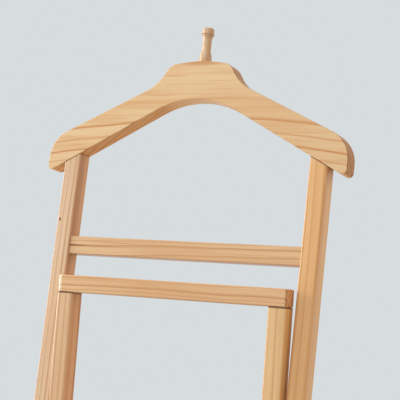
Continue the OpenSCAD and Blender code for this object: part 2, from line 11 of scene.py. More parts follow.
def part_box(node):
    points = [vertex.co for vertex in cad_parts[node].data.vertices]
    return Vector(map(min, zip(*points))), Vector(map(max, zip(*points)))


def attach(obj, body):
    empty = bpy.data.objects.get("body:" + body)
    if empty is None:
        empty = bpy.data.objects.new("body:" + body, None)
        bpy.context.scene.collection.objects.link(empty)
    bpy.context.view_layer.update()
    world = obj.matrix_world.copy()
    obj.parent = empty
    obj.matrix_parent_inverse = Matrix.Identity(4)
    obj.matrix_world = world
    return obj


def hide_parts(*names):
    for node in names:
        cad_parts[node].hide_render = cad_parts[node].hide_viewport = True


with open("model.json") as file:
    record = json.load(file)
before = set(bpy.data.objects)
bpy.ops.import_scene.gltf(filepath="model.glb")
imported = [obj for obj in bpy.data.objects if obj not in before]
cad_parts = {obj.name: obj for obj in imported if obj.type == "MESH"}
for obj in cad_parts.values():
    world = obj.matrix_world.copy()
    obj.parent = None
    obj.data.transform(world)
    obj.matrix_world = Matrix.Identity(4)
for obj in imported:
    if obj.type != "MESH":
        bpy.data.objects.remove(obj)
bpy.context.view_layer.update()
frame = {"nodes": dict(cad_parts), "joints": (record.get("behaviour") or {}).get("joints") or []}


# ---- Camera ----
# The photograph's viewing angle: from the right of the chair at the height of its crossbar, a little
# downward, with a long lens.


def placed(name, data):
    """A new object in the scene for a camera, a lamp, or a mesh that already lies in its place."""
    thing = bpy.data.objects.new(name, data)
    bpy.context.scene.collection.objects.link(thing)
    return thing


photo_px = 400
focal_px = 1239.457
camera_yaw = math.radians(27.438)
camera_pitch = math.radians(-3.301)
camera_data = bpy.data.cameras.new("photo_camera")
camera_data.sensor_width = 36
camera_data.lens = camera_data.sensor_width * focal_px / photo_px
camera = placed("photo_camera", camera_data)
camera.location = (0.741684, -1.302425, 0.998312)
camera.rotation_euler = (math.radians(90) + camera_pitch, 0, camera_yaw)
bpy.context.scene.camera = camera
bpy.context.scene.view_settings.view_transform = "Standard"


# ---- Studio ----
# A pale floor that runs out into an even, cool pale grey, soft daylight from a tall panel on the left
# and a cooler one above, and weaker, warmer fill from the right.


class Wire:
    """One socket of a node tree, which can be reckoned with."""

    def __init__(self, tree, socket=None):
        self.tree, self.socket = tree, socket

    def make(self, kind, settings=None, inputs=None, out=0):
        """Adds a node, sets it up, and fills its sockets with values or wires."""
        node = self.tree.nodes.new(kind)
        for key, value in (settings or {}).items():
            setattr(node, key, value)
        for key, value in (inputs or {}).items():
            if isinstance(value, Wire):
                self.tree.links.new(value.socket, node.inputs[key])
            else:
                node.inputs[key].default_value = value
        return Wire(self.tree, node.outputs[out]) if node.outputs else Wire(self.tree)

    def reckon(self, operation, *values):
        return self.make("ShaderNodeMath", {"operation": operation}, dict(enumerate(values)))

    def __add__(self, other):
        return self.reckon("ADD", self, other)

    def __sub__(self, other):
        return self.reckon("SUBTRACT", self, other)

    def __rsub__(self, other):
        return self.reckon("SUBTRACT", other, self)

    def __mul__(self, other):
        return self.reckon("MULTIPLY", self, other)

    def __truediv__(self, other):
        return self.reckon("DIVIDE", self, other)

    def __pow__(self, other):
        return self.reckon("POWER", self, other)

    __radd__ = __add__
    __rmul__ = __mul__

    def ease(self, low, high):
        """0 below low, 1 above high, and smooth between."""
        return self.make("ShaderNodeMapRange", {"interpolation_type": "SMOOTHSTEP"},
                         {"Value": self, "From Min": low, "From Max": high})

    def vector(self, operation, *values):
        out = "Value" if operation in ("LENGTH", "DOT_PRODUCT") else 0
        return self.make("ShaderNodeVectorMath", {"operation": operation}, dict(enumerate(values)), out)

    def split(self):
        parts = self.make("ShaderNodeSeparateXYZ", inputs={0: self}).socket.node.outputs
        return [Wire(self.tree, part) for part in parts]

    def tint(self, mask, first, second, how="MIX"):
        """The first colour where the mask is 0, the second where it is 1."""
        return self.make("ShaderNodeMix", {"data_type": "RGBA", "blend_type": how},
                         {0: mask, 6: first, 7: second}, 2)


def rgb(red, green, blue):
    """A colour as a screen shows it, 0 to 255, in linear light."""
    shares = [value / 255 for value in (red, green, blue)]
    return (*[s / 12.92 if s <= 0.04045 else ((s + 0.055) / 1.055) ** 2.4 for s in shares], 1)


backdrop = rgb(215, 220, 222)
shade_light = (0.60, 0.45, 0.32, 1)


def seen_straight(wire):
    """1 for rays of the camera and for mirror-like rays, 0 for the rays that light things."""
    path = wire.make("ShaderNodeLightPath").socket.node.outputs
    rays = [Wire(wire.tree, path[name]) for name in ("Is Camera Ray", "Is Glossy Ray", "Is Transmission Ray")]
    return rays[0].reckon("MAXIMUM", rays[0], rays[1].reckon("MAXIMUM", rays[1], rays[2]))


world = bpy.data.worlds.new("studio")
world.use_nodes = True
world.node_tree.nodes.clear()
air = Wire(world.node_tree)
sky = air.make("ShaderNodeBackground", inputs={"Color": air.tint(seen_straight(air), shade_light, backdrop)})
air.make("ShaderNodeOutputWorld", inputs={"Surface": sky})
bpy.context.scene.world = world


def new_material(name):
    """An empty material, and the wire to start its nodes from."""
    material = bpy.data.materials.new(name)
    material.use_nodes = True
    material.node_tree.nodes.clear()
    return material, Wire(material.node_tree)


floor_radius = 3.0
fade = 0.7, 2.2
floor_colour = rgb(197, 208, 222)
floor_mesh = bpy.data.meshes.new("floor")
floor_shape = bmesh.new()
bmesh.ops.create_circle(floor_shape, cap_ends=True, radius=floor_radius, segments=96)
floor_shape.to_mesh(floor_mesh)
floor_shape.free()
floor_paint, paint = new_material("floor_paint")
reach = paint.vector("LENGTH", paint.make("ShaderNodeTexCoord", out="Object"))
matt = paint.make("ShaderNodeBsdfDiffuse", inputs={"Color": floor_colour})
glow = paint.make("ShaderNodeEmission", inputs={"Color": backdrop})
faded = reach.ease(*fade) * seen_straight(paint)
mixed = paint.make("ShaderNodeMixShader", inputs={0: faded, 1: matt, 2: glow})
paint.make("ShaderNodeOutputMaterial", inputs={"Surface": mixed})
floor_mesh.materials.append(floor_paint)
placed("floor", floor_mesh)


def lamp(name, place, target, width, height, power, colour):
    """A soft panel of light, aimed at the target."""
    data = bpy.data.lights.new(name, "AREA")
    data.shape = "RECTANGLE"
    data.size = width
    data.size_y = height
    data.energy = power
    data.color = colour
    panel = placed(name, data)
    panel.location = place
    panel.rotation_euler = (Vector(target) - Vector(place)).to_track_quat("-Z", "Y").to_euler()


chair_middle = (0, 0, 0.8)
lamp("daylight", (-3.0, -0.45, 1.5), chair_middle, 1.2, 2.4, 84, (1.0, 0.99, 0.97))
lamp("skylight", (-0.6, -1.6, 3.2), chair_middle, 1.6, 1.6, 33, (0.86, 0.96, 1.0))
lamp("bounce", (2.4, 1.0, 1.4), chair_middle, 1.8, 1.8, 14, (1.0, 0.84, 0.68))


# ---- Posts ----
# Two straight laths of pine, planed, with eased long edges and a clear satin lacquer. Their tops are cut
# to the hanger's slope and their feet level with the floor.
mm = 0.001
nodes = frame["nodes"]
joints = {joint["name"]: joint for joint in frame["joints"]}
across = Vector((1, 0, 0))
legs_pivot = Vector(joints["legs_fold"]["pos_m"])
seat_pivot = Vector(joints["seat_fold"]["pos_m"])
up_posts = (seat_pivot - legs_pivot).normalized()


def front_of(up):
    """The way out of the front of what leans along up."""
    return across.cross(up)


# Browns for knots and for painted shade at joints, for rings and for painted shade on end-grain rims, and for
# the painted shade in the joints' seams
knot_and_joint_shade_brown, ring_and_rim_shade_brown, seam_shade_brown = rgb(122, 68, 40), rgb(110, 66, 38), rgb(92, 56, 34)


def stretched(place, side, length, detail=2.0, roughness=0.5, out=0):
    """Noise with so many waves to the metre across the grain and along it."""
    scaled = place.vector("MULTIPLY", place, (side, side, length))
    return place.make("ShaderNodeTexNoise", inputs={
        "Vector": scaled, "Scale": 1.0, "Detail": detail, "Roughness": roughness}, out=out)


def late_wood(place, heart, ring, wander=4 * mm, taper=0.004, bow=0.0, fine=0.35, late_from=0.5, uneven=1.6):
    """How dark each place in a log is with late wood, ring after ring round its heart.

    The rings wander by up to so far, widen by taper and bend by bow along the log, and turn dark from
    late_from on. They are uneven, some strong and others faint, and have fine lines between them.
    """
    sway = place.vector("SUBTRACT", stretched(place, 9, 4, out="Color"), (0.5, 0.5, 0.5))
    sway = place.vector("MULTIPLY", sway, (2 * wander, 2 * wander, 0))
    side, depth, length = place.vector("ADD", place, sway).split()
    side = side - length * length * bow
    radius = ((side - heart[0]) ** 2 + (depth - heart[1]) ** 2) ** 0.5 + length * taper

    def by_radius(size, detail):
        """Noise that changes with the radius alone, in waves of about that size."""
        return place.make("ShaderNodeTexNoise", {"noise_dimensions": "1D"}, {
            "W": radius / size, "Scale": 1.0, "Detail": detail, "Roughness": 0.6})

    year = radius / ring + by_radius(3 * ring, 1.0) * uneven
    growth = year.reckon("FRACT", year)
    strength = place.make("ShaderNodeTexWhiteNoise", {"noise_dimensions": "1D"}, {"W": year - growth})
    late = growth.ease(late_from, 0.93) * (1 - growth.ease(0.955, 1.0)) * (strength * 0.8 + 0.2)
    return late.reckon("MAXIMUM", late, by_radius(1.3 * mm, 3.0).ease(0.48, 0.75) * fine)


def marked(colour, place, marks, shaded_seams):
    """The colour with its knots and streaks, with painted highlights on some edges, and with painted shade
    darkening its joints.

    A mark is where, how far each way, how strong and, where it isn't a knot's or a joint's painted shade, of
    what colour. A seam is how far out, along which way, and half its width; its band is painted shade.
    """
    for spot, reach, strong, *stain in marks:
        off = place.vector("DIVIDE", place.vector("SUBTRACT", place, spot), reach)
        near = 1 - place.vector("LENGTH", off).ease(0.4, 1.0)
        colour = place.tint(near * strong, colour, stain[0] if stain else knot_and_joint_shade_brown)
    # Painted shade: a band along each joint is darkened, as if shadow lay in the gap between the parts
    for out_to, way, half in shaded_seams:
        off = place.vector("DOT_PRODUCT", place.make("ShaderNodeTexCoord", out="Object"), way) - out_to
        near = 1 - off.reckon("ABSOLUTE", off).ease(half, 2.2 * half)
        colour = place.tint(near * 0.8, colour, seam_shade_brown)
    return colour


def surface(paint, colour, shade, relief, depth, strength, gloss):
    """Ends a material: its colour in that shade, its relief so deep and strong, its gloss by socket."""
    tone = paint.make("ShaderNodeHueSaturation", inputs={"Color": colour, "Value": shade})
    bump = paint.make("ShaderNodeBump", inputs={"Height": relief, "Distance": depth, "Strength": strength})
    skin = paint.make("ShaderNodeBsdfPrincipled", inputs={"Base Color": tone, "Normal": bump, **gloss})
    paint.make("ShaderNodeOutputMaterial", inputs={"Surface": skin})


def pine(name, origin, along, out, heart, ring, pale=rgb(222, 188, 148), dark=rgb(190, 134, 88), shift=0.0,
         ends=rgb(238, 208, 182), rim=0.0, flank_shades=(), marks=(), shaded_seams=(), boards=False, **log):
    """Clear-lacquered pine, cut from a log whose heart runs along the piece.

    The heart lies at heart = (to the side, in from the face), both from the origin, and out points out
    of the face that is seen. The piece comes from so far along the log by shift, and log says how the
    log grew, as late_wood takes it. Ends tints the end grain, set piece by piece partly as painted light
    and shade. Rim darkens the end grain's edges, partly as painted shade, and flank_shades tint the faces
    to one and the other side as painted shade and painted warm bounce light. With boards, each board of
    the mesh is cut from a place of its own.
    """
    material, wood = new_material(name)
    into = -out
    aside = into.cross(along)
    here = wood.make("ShaderNodeMapping", {"vector_type": "TEXTURE"}, {
        "Vector": wood.make("ShaderNodeTexCoord", out="Object"), "Location": origin,
        "Rotation": Matrix((aside, into, along)).transposed().to_euler()})
    place = wood.vector("ADD", here, (0, 0, shift))
    if boards:
        board = wood.make("ShaderNodeAttribute", {"attribute_name": "board"}, out="Vector")
        place = wood.vector("ADD", place, board)

    # Along the grain: rings, streaks, clouds and pores
    late = late_wood(place, heart, ring, **log)
    pores = stretched(place, 420, 14, 0.0).ease(0.70, 0.80)
    middling = tuple(d ** 0.5 * p ** 0.5 for d, p in zip(dark, pale))
    colour = wood.tint(late, pale, dark)
    colour = wood.tint(stretched(place, 150, 3.5).ease(0.45, 0.75) * 0.45, colour, middling)
    colour = wood.tint(stretched(place, 30, 5, 1.0).ease(0.40, 0.70) * 0.35, colour, middling)
    colour = wood.tint(pores * 0.35, colour, dark)

    # End grain is thirstier: darker and redder, speckled where the long faces are streaked, and with its
    # rings drawn more sharply. Along its rounded edges it is darkened further, partly thirstier end grain and
    # partly painted shade
    normal = wood.make("ShaderNodeTexCoord", out="Normal")
    facing = wood.vector("DOT_PRODUCT", normal, along)
    end = facing.reckon("ABSOLUTE", facing).ease(0.15, 0.75)
    front = wood.vector("DOT_PRODUCT", normal, out)
    edge = end * front.ease(0.15, 0.5) * (1 - front.ease(0.8, 0.97))
    colour = wood.tint(end, colour, ends, "MULTIPLY")
    # Painted shade and painted warm bounce light: faces to one side and the other are tinted by which way
    # they face
    for side, flank_shade in zip((aside, -aside), flank_shades):
        toward = wood.vector("DOT_PRODUCT", normal, side).ease(0.55, 0.85)
        colour = wood.tint(toward, colour, flank_shade, "MULTIPLY")
    colour = marked(colour, here, marks, shaded_seams)
    # Painted shade: rim darkens the end grain's rounded edges, laid on with its rings
    colour = wood.tint(end * late * 0.65 + edge * rim, colour, ring_and_rim_shade_brown)
    grain = stretched(place, 650, 12, 3.0, 0.6) * (1 - end) + stretched(place, 1400, 1400, 1.0) * end
    surface(wood, colour, grain * 0.16 + 0.92, grain * 0.7 + late * 0.5 - pores * 0.6, 0.09 * mm, 0.6, {
        "Roughness": grain * 0.16 + 0.40 - late * 0.06, "Coat Weight": 0.55 - end * 0.45,
        "Coat Roughness": 0.19, "Specular IOR Level": 0.1})
    return material


def fitted(piece, body, *stands_for):
    """Fixes a piece to its body, in place of its solids, which it hides."""
    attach(piece, body)
    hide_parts(*stands_for)
    return piece


sharp_turn = math.radians(38)


def eased(piece, edge, limit="ANGLE"):
    """Smooth faces between sharp edges, and the sharp edges, or those with a weight, rounded by so much."""
    piece.data.shade_smooth()
    piece.data.set_sharp_from_angle(angle=sharp_turn)
    bevel = piece.modifiers.new("eased", "BEVEL")
    bevel.width = edge
    bevel.segments = 3
    bevel.limit_method = limit
    bevel.angle_limit = sharp_turn
    bevel.harden_normals = True
    bevel.use_clamp_overlap = False
    flats = piece.modifiers.new("flat faces", "WEIGHTED_NORMAL")
    flats.keep_sharp = True
    return piece


def merged(node):
    """The faces of a CAD solid, joined along their edges."""
    shape = bmesh.new()
    shape.from_mesh(nodes[node].data)
    bmesh.ops.remove_doubles(shape, verts=shape.verts, dist=0.001 * mm)
    return shape


def groups(items, beside):
    """The items in groups that hang together, where beside gives what is next to one."""
    waiting = dict.fromkeys(items)
    found = []
    while waiting:
        group = [waiting.popitem()[0]]
        for item in group:
            near = [other for other in dict.fromkeys(beside(item)) if other in waiting]
            group += near
            for other in near:
                del waiting[other]
        found.append(group)
    return found


def outer_edges(shape, widest_bore=18 * mm):
    """The sharp edges of a solid, without those round its bores, which stay as the drill leaves them."""
    sharp = [edge for edge in shape.edges if edge.calc_face_angle(0) > sharp_turn]
    found = []
    for chain in groups(sharp, lambda edge: [near for vert in edge.verts for near in vert.link_edges]):
        spreads = [max(row) - min(row) for row in zip(*[vert.co for edge in chain for vert in edge.verts])]
        if max(spreads) > widest_bore:
            found += chain
    return found


def planed(node, name, material, body, edge=0.4 * mm):
    """A finished copy of a wooden solid, its flats made whole and its outer edges eased."""
    shape = merged(node)
    bmesh.ops.dissolve_degenerate(shape, dist=0.03 * mm, edges=shape.edges)
    bmesh.ops.dissolve_limit(shape, angle_limit=math.radians(0.5), verts=shape.verts, edges=shape.edges)
    weight = shape.edges.layers.float.new("bevel_weight_edge")
    for outer in outer_edges(shape):
        outer[weight] = 1.0
    mesh = bpy.data.meshes.new(name)
    shape.to_mesh(mesh)
    shape.free()
    mesh.materials.append(material)
    return fitted(eased(placed(name, mesh), edge, "WEIGHT"), body, node)


def middle(node):
    low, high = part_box(node)
    return (low + high) / 2


def reach_of(node, way):
    """How far out a solid reaches along a way."""
    return max(corner.co.dot(way) for corner in nodes[node].data.vertices)


def top_seam(node, up, half):
    """The joint at the top end of a post that leans along up."""
    way = next(face.normal.copy() for face in nodes[node].data.polygons if face.normal.dot(up) > 0.8)
    return reach_of(node, way), way, half


def at_legs_pivot(node):
    """The place in a post's middle, at the height of the legs' pivot."""
    return Vector((middle(node).x, legs_pivot.y, legs_pivot.z))


knot = (-0.0074, -0.012, 0.5995), (0.0026, 0.010, 0.0033), 0.85
edge_streaks = [((0.012, -0.006, 0.640), (0.003, 0.008, 0.170), 0.32),
                ((0.012, 0.0005, 0.640), (0.002, 0.0016, 0.150), 0.40)]
left_post_pine = pine(
    "left_post_pine", at_legs_pivot("post_left"), up_posts, front_of(up_posts), (34 * mm, 9 * mm), 6.2 * mm,
    pale=rgb(226, 202, 174), dark=rgb(192, 150, 115), flank_shades=(rgb(254, 232, 210),),
    marks=(knot, *edge_streaks), shaded_seams=(top_seam("post_left", up_posts, 0.5 * mm),))
right_post_pine = pine(
    "right_post_pine", at_legs_pivot("post_right"), up_posts, front_of(up_posts), (-52 * mm, 21 * mm),
    7.5 * mm, pale=rgb(232, 194, 143), dark=rgb(206, 152, 98), shift=1.3, fine=0.5,
    shaded_seams=(top_seam("post_right", up_posts, 0.5 * mm),))
planed("post_left", "left_post", left_post_pine, "tall_frame", 0.8 * mm)
planed("post_right", "right_post", right_post_pine, "tall_frame", 0.8 * mm)


# ---- Crossbar and lower stretcher ----
# Two pine laths between the posts, set a little behind the posts' faces and dowelled into them, two
# glued beech dowels to an end.
streak_brown = rgb(168, 98, 58)
crossbar_pine = pine(
    "crossbar_pine", middle("crossbar"), across, front_of(up_posts), (30 * mm, 30 * mm), 5 * mm,
    taper=-0.014, pale=rgb(225, 196, 157), flank_shades=(rgb(255, 236, 208), rgb(255, 240, 218)), marks=(
        ((0.0, -0.011, -0.160), (0.0014, 0.012, 0.026), 0.9),
        ((0.0004, -0.011, -0.130), (0.0010, 0.012, 0.060), 0.50, streak_brown),
        ((-0.0050, -0.011, -0.090), (0.0009, 0.012, 0.070), 0.35, streak_brown)))
stretcher_pine = pine("stretcher_pine", middle("lower_stretcher"), across, front_of(up_posts),
                      (-40 * mm, 24 * mm), 4 * mm, shift=0.7)
planed("crossbar", "crossbar_lath", crossbar_pine, "tall_frame", 0.6 * mm)
planed("lower_stretcher", "lower_stretcher_lath", stretcher_pine, "tall_frame", 0.6 * mm)


def beech(name, origin, along, pale=rgb(206, 166, 128), dark=rgb(172, 124, 88)):
    """Clear-lacquered beech: even and close-grained, with short dark flecks that lie along the grain."""
    material, wood = new_material(name)
    turn = along.to_track_quat("Z", "Y").to_euler()
    place = wood.make("ShaderNodeMapping", {"vector_type": "TEXTURE"}, {
        "Vector": wood.make("ShaderNodeTexCoord", out="Object"), "Location": origin, "Rotation": turn})
    bands = stretched(place, 120, 6).ease(0.35, 0.70)
    fibre = stretched(place, 900, 30)
    flecks = stretched(place, 1500, 300, 0.0).ease(0.62, 0.72)
    colour = wood.tint(bands * 0.6, pale, dark)
    colour = wood.tint(flecks * 0.55, colour, dark)
    surface(wood, colour, fibre * 0.14 + 0.93, fibre * 0.6 - flecks * 0.5, 0.06 * mm, 0.5, {
        "Roughness": fibre * 0.14 + 0.38, "Coat Weight": 0.2, "Coat Roughness": 0.25})
    return material


for node, way in (("crossbar_dowels", across), ("stretcher_dowels", across), ("hanger_dowels", up_posts)):
    nodes[node].data.materials[0] = beech(node + "_beech", middle(node), way)


# ---- Hanger ----
# The head board, sawn to the shape of a coat hanger from one wide pine board and rounded over on its
# edges. It is dowelled down onto the posts' sloping tops.
facing = front_of(up_posts)
crown, face = reach_of("hanger", up_posts), reach_of("hanger", facing)
below_crown = 6.5 * mm
crown_tan = (-below_crown, 0.0, 0.004), (0.0085, 0.008, 0.056), 0.75, rgb(194, 142, 88)
# The hanger's end-grain tint is darker partly as painted shade, for the little light its ends get
hanger_pine = pine(
    "hanger_pine", up_posts * (crown - below_crown) + facing * face, across, facing,
    (22 * mm, 99.6 * mm), 8 * mm, pale=rgb(227, 202, 162), dark=rgb(198, 134, 80), wander=5 * mm, bow=0.34,
    fine=0.12, late_from=0.70, uneven=0, ends=rgb(218, 196, 182), rim=0.45,
    flank_shades=((1.25, 0.98, 0.60, 1), rgb(255, 244, 228)), marks=(crown_tan,))
planed("hanger", "hanger_board", hanger_pine, "tall_frame", 1.1 * mm)


# ---- Peg ----
# A small peg turned from beech, with a flared foot, a slim neck and a flat-topped head over a thin rim. Its
# tenon is glued into the crown of the hanger.


def turned(name, rows, segments=48):
    """A mesh turned about Z from rows of radius, height and, where it isn't round, form.

    The rows run from the middle of the bottom to the middle of the top, or once round a ring's section.
    A form gives the share of the radius that the outline has at an angle.
    """
    shape = bmesh.new()
    angles = [math.tau * step / segments for step in range(segments)]
    loops = []
    for radius, height, *form in rows:
        share = form[0] if form else lambda angle: 1
        if radius == 0:
            loops.append([shape.verts.new((0, 0, height))] * segments)
        else:
            loops.append([shape.verts.new((radius * share(angle) * math.cos(angle),
                                           radius * share(angle) * math.sin(angle), height))
                          for angle in angles])
    if rows[0][0] > 0:
        loops.append(loops[0])
    for low, high in zip(loops, loops[1:]):
        for step in range(segments):
            corners = (low[step], low[step - segments + 1], high[step - segments + 1], high[step])
            shape.faces.new(dict.fromkeys(corners))
    bmesh.ops.recalc_face_normals(shape, faces=shape.faces)
    mesh = bpy.data.meshes.new(name)
    shape.to_mesh(mesh)
    shape.free()
    mesh.shade_smooth()
    mesh.set_sharp_from_angle(angle=math.radians(35))
    return mesh


def round_over(radius, top, edge, steps=5):
    """Rows that turn a side of that radius over to a flat top by a rounded edge."""
    turns = [math.pi / 2 * step / steps for step in range(steps + 1)]
    return [(radius - edge + edge * math.cos(turn), top - edge + edge * math.sin(turn)) for turn in turns]


def solids(node):
    """The separate solids of a CAD node, each as the list of its corners, in a settled order."""
    shape = merged(node)
    parts = groups(shape.verts, lambda vert: [other for edge in vert.link_edges for other in edge.verts])
    found = [sorted((vert.co.copy() for vert in part), key=tuple) for part in parts]
    shape.free()
    return sorted(found, key=lambda solid: tuple(solid[0]))


def measured(node, way):
    """The places of a round CAD node's like solids, then the length, outer and least radius of one.

    A place is the middle of a solid's outer face, with the way it faces, which way gives for its centre.
    """
    places = []
    for solid in solids(node):
        centre = sum(solid, Vector()) / len(solid)
        out = way(centre)
        heights = [(corner - centre).dot(out) for corner in solid]
        radii = [(corner - centre - out * height).length for corner, height in zip(solid, heights)]
        places.append((centre + out * max(heights), out))
    return places, max(heights) - min(heights), max(radii), min(radii)


((peg_top, _),), peg_len, rim_r, _ = measured("peg", lambda centre: up_posts)
tenon_r, tenon_len, tenon_edge = 4 * mm, 22 * mm, 0.6 * mm
foot_r, neck_r, head_r = 8.3 * mm, 5.8 * mm, 7.9 * mm
flare_h, cove_h, head_h, rim_t = 18 * mm, 7 * mm, 9 * mm, 1.4 * mm
peg_steps = [step / 12 for step in range(13)]
foot_at, head_at = tenon_len - peg_len, -head_h
tenon = [(0, -peg_len), (tenon_r - tenon_edge, -peg_len), (tenon_r, tenon_edge - peg_len), (tenon_r, foot_at)]
flare = [(neck_r + (foot_r - neck_r) * (1 + math.cos(math.pi * step ** 2)) / 2, foot_at + flare_h * step)
         for step in peg_steps]
cove = [(neck_r + (rim_r - rim_t / 2 - neck_r) * step ** 2, head_at - cove_h * (1 - step))
        for step in peg_steps]
rim = [(rim_r - rim_t / 2 * (1 - math.sin(math.pi * step)), head_at + rim_t * step)
       for step in peg_steps[2:11:2]]
head = [(head_r, head_at + rim_t), *round_over(head_r * 0.98, 0, 2.2 * mm, 8),
        (head_r * 0.3, 0.05 * mm), (0, 0.05 * mm)]
peg_rows = tenon + flare + cove + rim + head
peg_mesh = turned("turned_peg", peg_rows, 64)
peg_mesh.transform(Matrix.Translation(peg_top) @ up_posts.to_track_quat("Z", "Y").to_matrix().to_4x4())
peg_mesh.materials.append(beech("peg_beech", peg_top, up_posts, rgb(216, 186, 150), rgb(164, 124, 90)))
fitted(placed("turned_peg", peg_mesh), "tall_frame", "peg")


# ---- Glides ----
# Round glides under the four feet, moulded in black nylon and rounded over at the rim. Each is held by a
# short steel nail, whose head sits in the well at its middle.


def moulded(name, colour, rough):
    """Moulded nylon: nearly even, with a fine cast texture and faint clouds."""
    material, plastic = new_material(name)
    place = plastic.make("ShaderNodeTexCoord", out="Object")
    clouds = plastic.make("ShaderNodeTexNoise", inputs={"Vector": place, "Scale": 90.0, "Detail": 2.0})
    pebble = plastic.make("ShaderNodeTexNoise", inputs={"Vector": place, "Scale": 2600.0, "Detail": 1.0})
    surface(plastic, colour, clouds * 0.16 + 0.92, pebble, 0.05 * mm, 0.5, {
        "Roughness": clouds * 0.12 + rough})
    return material


def zinc(name, colour=rgb(196, 197, 199), rough=0.26):
    """Zinc-plated steel: satin, mottled, with fine scratches."""
    material, plate = new_material(name)
    place = plate.make("ShaderNodeTexCoord", out="Object")
    mottle = plate.make("ShaderNodeTexNoise", inputs={"Vector": place, "Scale": 260.0, "Detail": 3.0})
    scratched = plate.vector("MULTIPLY", place, (400, 2600, 900))
    scratches = plate.make("ShaderNodeTexNoise", inputs={"Vector": scratched, "Scale": 1.0, "Detail": 2.0})
    surface(plate, colour, mottle * 0.3 + 0.82, scratches, 0.02 * mm, 0.4, {
        "Metallic": 1.0, "Roughness": mottle * 0.2 + rough})
    return material


def new_tree(name, inputs):
    """A Geometry Nodes tree with those named inputs: its canvas, and its inputs' wires."""
    tree = bpy.data.node_groups.new(name, "GeometryNodeTree")
    for label, kind in inputs.items():
        tree.interface.new_socket(label, in_out="INPUT", socket_type="NodeSocket" + kind)
    tree.interface.new_socket("Made", in_out="OUTPUT", socket_type="NodeSocketGeometry")
    canvas = Wire(tree)
    given = canvas.make("NodeGroupInput").socket.node.outputs
    return canvas, {label: Wire(tree, given[label]) for label in inputs}


def end_tree(canvas, made, finish):
    """The tree, ended by what makes its copies real and gives them their finish."""
    made = canvas.make("GeometryNodeRealizeInstances", inputs={"Geometry": made})
    made = canvas.make("GeometryNodeSetMaterial", inputs={"Geometry": made, "Material": finish})
    canvas.make("NodeGroupOutput", inputs={"Made": made})
    return canvas.tree


def grown(name, mesh, tree, values):
    """A piece with the plain mesh that a tree makes from a mesh and from the values of its inputs."""
    piece = placed(name, mesh)
    modifier = piece.modifiers.new(tree.name, "NODES")
    modifier.node_group = tree
    for item in tree.interface.items_tree:
        if item.in_out == "INPUT" and item.name in values:
            modifier[item.identifier] = values[item.name]
    graph = bpy.context.evaluated_depsgraph_get()
    made = bpy.data.meshes.new_from_object(piece.evaluated_get(graph), depsgraph=graph)
    made.name = name
    piece.modifiers.clear()
    piece.data = made
    return piece


# Sets a copy of one piece out at every place, pointing along the place's aim and turned at random
canvas, given = new_tree("set out", {
    "Places": "Geometry", "Piece": "Object", "Most turn": "Float", "Seed": "Int", "Finish": "Material"})
aim = canvas.make("GeometryNodeInputNamedAttribute", {"data_type": "FLOAT_VECTOR"}, {"Name": "aim"})
aimed = canvas.make("FunctionNodeAlignRotationToVector", {"axis": "Z"}, {"Vector": aim})
spin = canvas.make("FunctionNodeRandomValue", {"data_type": "FLOAT"},
                   {2: 0.0, 3: given["Most turn"], "Seed": given["Seed"]}, 1)
spin = canvas.make("FunctionNodeEulerToRotation",
                   inputs={"Euler": canvas.make("ShaderNodeCombineXYZ", inputs={"Z": spin})})
aimed = canvas.make("FunctionNodeRotateRotation", {"rotation_space": "LOCAL"},
                    {"Rotation": aimed, "Rotate By": spin})
one = canvas.make("GeometryNodeObjectInfo", inputs={"Object": given["Piece"]}, out="Geometry")
many = canvas.make("GeometryNodeInstanceOnPoints",
                   inputs={"Points": given["Places"], "Instance": one, "Rotation": aimed})
set_out_tree = end_tree(canvas, many, given["Finish"])


def set_out(name, mesh, places, finish, body, *stands_for, seed=1):
    """Copies of a turned mesh at (place, way) pairs, as one piece of a body."""
    points = bpy.data.meshes.new(name + "_places")
    points.from_pydata([place for place, way in places], [], [])
    aims = points.attributes.new("aim", "FLOAT_VECTOR", "POINT")
    aims.data.foreach_set("vector", [share for place, way in places for share in way])
    master = bpy.data.objects.new(name + "_one", mesh)
    piece = grown(name, points, set_out_tree, {
        "Piece": master, "Most turn": math.tau, "Seed": seed, "Finish": finish})
    piece.data.attributes.remove(piece.data.attributes["aim"])
    bpy.data.objects.remove(master)
    if stands_for:
        return fitted(piece, body, *stands_for)
    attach(piece, body)
    return piece


def outward(centre):
    """The way out to the side that a place is on."""
    return across * math.copysign(1, centre.x)


upright = Vector((0, 0, 1))
black_nylon = moulded("black_nylon", rgb(40, 40, 42), 0.42)
nail_zinc = zinc("nail_zinc")
nail_r, well_r, well_h = 2.6 * mm, 3.4 * mm, 1.3 * mm
nail_rows = [(0, -1.5 * mm), (nail_r, -1.5 * mm), (nail_r, -0.9 * mm), (nail_r * 0.8, -0.6 * mm),
             (0, -0.5 * mm)]
for node, body in (("front_glides", "tall_frame"), ("rear_glides", "rear_legs")):
    places, glide_t, glide_r, _ = measured(node, lambda centre: -upright)
    glide_rows = [(0, -glide_t), (glide_r - 0.3 * mm, -glide_t), (glide_r, 0.3 * mm - glide_t)]
    glide_rows += round_over(glide_r, 0, 1.2 * mm)
    glide_rows += [(well_r + 0.3 * mm, 0), (well_r, -0.3 * mm), (well_r, -well_h), (0, -well_h)]
    end = node.split("_")[0]
    set_out(end + "_nylon_glides", turned("glide", glide_rows), places, black_nylon, body, node)
    nails = set_out(end + "_glide_nails", turned("nail", nail_rows, 24), places, nail_zinc, body)


# ---- Trouser frame ----
# Two short pine posts and a cap rail with its end grain showing, dowelled together. The frame turns on two
# bolts through the tall posts, with nylon spacers between, and its tails lean on steel pins.
trouser_pivot = Vector(joints["trouser_fold"]["pos_m"])
up_trouser = middle("trouser_post_left") - trouser_pivot
up_trouser.x = 0
up_trouser.normalize()
rail_seam = top_seam("trouser_post_left", up_trouser, 0.9 * mm)
